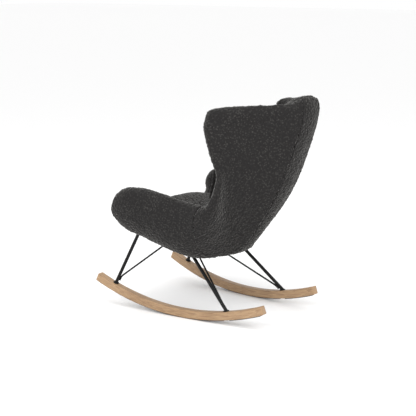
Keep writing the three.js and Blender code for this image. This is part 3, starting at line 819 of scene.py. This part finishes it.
def leg_pieces(side, sign, place):
    degrees = FEET[place]
    flip = np.array([sign, 1, 1])
    inward = runner_inward(degrees)
    foot = runner_point(degrees, WOOD_TOP - 2 * GAP - PLATE["thick"], 0)
    top = np.array(FRAME_TOP[place], float) - FRAME_UP * GAP
    name = f"{side}_{place}"
    leg = tube_piece(name + "_leg_tube", [foot * flip, top * flip], LEG_RADIUS, inward * flip, FRAME_UP)
    finish_piece(leg, "leg_metal", BLACK, name + "_leg")

    along = unit(top + FRAME_UP * GAP - foot)
    middle = np.array([BRACE_END[place], FRAME_CENTRE_Y, frame_height(FRAME_CENTRE_Y)])
    target = middle - FRAME_UP * GAP
    away = target - foot
    away = unit(away - along * (away @ along))
    beside = LEG_RADIUS + BRACE_RADIUS + GAP
    low = foot + along * 12 + away * beside
    bend = foot + along * 34 + away * beside
    heading = unit(target - bend)
    a, c = bend - along * 10, bend + heading * 10
    knee = [(1 - u) ** 2 * a + 2 * u * (1 - u) * bend + u**2 * c for u in np.linspace(0, 1, 10)]
    points = [p * flip for p in [low, *knee, target]]
    rod = tube_piece(name + "_brace_rod", points, BRACE_RADIUS, along * flip, FRAME_UP, 20)
    finish_piece(rod, "leg_metal", BLACK, name + "_brace")

    r, thick = PLATE["radius"], PLATE["thick"]
    profile = [
        (BOLT_HOLE, 0), (r - 0.6, 0), (r, 0.6), (r, thick - 0.8),
        (r - 0.8, thick), (BOLT_HOLE, thick), (BOLT_HOLE, 0),
    ]
    origin = runner_point(degrees, WOOD_TOP - GAP, 0) * flip
    disc = lathe_piece(name + "_foot_disc", profile, origin, inward * flip)
    shade_by_angle(disc, 30)
    finish_piece(disc, "leg_metal", BLACK, name + "_foot_plate")

    seat_height = BOLT["sink"] - GAP
    socket, head, shank, tip = (BOLT[key] for key in ("socket", "head", "shank", "tip"))
    under = seat_height - BOLT["head_height"]
    profile = [
        (0, under + socket), (socket, under + socket), (socket, under), (head - 0.8, under),
        (head, under + 0.8), (head, seat_height), (shank, seat_height), (shank, tip), (0, tip),
    ]
    bolt = lathe_piece(
        name + "_foot_screw", profile, runner_point(degrees, WOOD_BOTTOM, 0) * flip, inward * flip
    )
    shade_by_angle(bolt, 30)
    finish_piece(bolt, "zinc", ZINC, name + "_foot_bolt")


for side, sign in SIDES.items():
    finish_piece(runner_piece(side, sign), "runner_wood", ASH[side], side + "_runner")
    for place in FEET:
        leg_pieces(side, sign, place)

# ---- CAD pieces that stay, with their own finish ----
FINISHES = {
    "grip_strip": RUBBER, "rail": BLACK, "cross_bar": BLACK, "bolt": ZINC, "tee_nut": ZINC,
    "shell": PLYWOOD, "seat_board": PLYWOOD, "dust_cover": LINING,
}
for name, node in frame["nodes"].items():
    for part, finish in FINISHES.items():
        if part in name:
            node.data.materials.clear()
            node.data.materials.append(finish)


# ---- studio ----
def studio_floor():
    mesh = bpy.data.meshes.new("studio_floor")
    reach = 40.0
    corners = [(-reach, -reach, 0), (reach, -reach, 0), (reach, reach, 0), (-reach, reach, 0)]
    mesh.from_pydata(corners, [], [(0, 1, 2, 3)])
    floor = bpy.data.objects.new("studio_floor", mesh)
    bpy.context.scene.collection.objects.link(floor)
    material, shader = new_material("studio_white", 0.9)
    shader.inputs["Base Color"].default_value = (0.97, 0.97, 0.97, 1)
    shader.inputs["Specular IOR Level"].default_value = 0.1
    mesh.materials.append(material)


def soft_light(name, place, size, power):
    data = bpy.data.lights.new(name, "AREA")
    data.shape = "DISK"
    data.size = size
    data.energy = power
    light = bpy.data.objects.new(name, data)
    light.location = place
    aim = Vector((0, 0, 0.5)) - Vector(place)
    light.rotation_mode = "QUATERNION"
    light.rotation_quaternion = aim.to_track_quat("-Z", "Y")
    bpy.context.scene.collection.objects.link(light)


CAMERA = {"lens": 102.52, "azimuth": 127, "elevation": 11.211, "place": (4171.3, 3093.0, 1480.9)}
LIGHTS = {  # place, size and power of the discs that light the chair
    "overhead": ((0.6, 0.4, 3.4), 3.0, 35),
    "from_behind": ((1.2, 3.2, 2.2), 1.8, 42),
    "beside": ((3.4, 0.1, 2.6), 1.6, 45),
}


def camera():
    """A long lens behind the chair's left side, a little above the seat."""
    data = bpy.data.cameras.new("camera")
    data.sensor_width = 36.0
    data.lens = CAMERA["lens"]
    data.clip_end = 200
    eye = bpy.data.objects.new("camera", data)
    azimuth, elevation = math.radians(CAMERA["azimuth"]), math.radians(CAMERA["elevation"])
    level = math.cos(elevation)
    back = Vector((math.sin(azimuth) * level, -math.cos(azimuth) * level, math.sin(elevation)))
    eye.location = to_frame(CAMERA["place"]).tolist()
    eye.rotation_mode = "QUATERNION"
    eye.rotation_quaternion = (-back).to_track_quat("-Z", "Y")
    bpy.context.scene.collection.objects.link(eye)
    bpy.context.scene.camera = eye


def world():
    scene = bpy.context.scene
    scene.world = bpy.data.worlds.new("studio")
    scene.world.use_nodes = True
    background = scene.world.node_tree.nodes["Background"]
    background.inputs["Color"].default_value = (1, 1, 1, 1)
    background.inputs["Strength"].default_value = 1.0
    scene.view_settings.view_transform = "Standard"


studio_floor()
camera()
world()
for name, (place, size, power) in LIGHTS.items():
    soft_light(name, place, size, power)
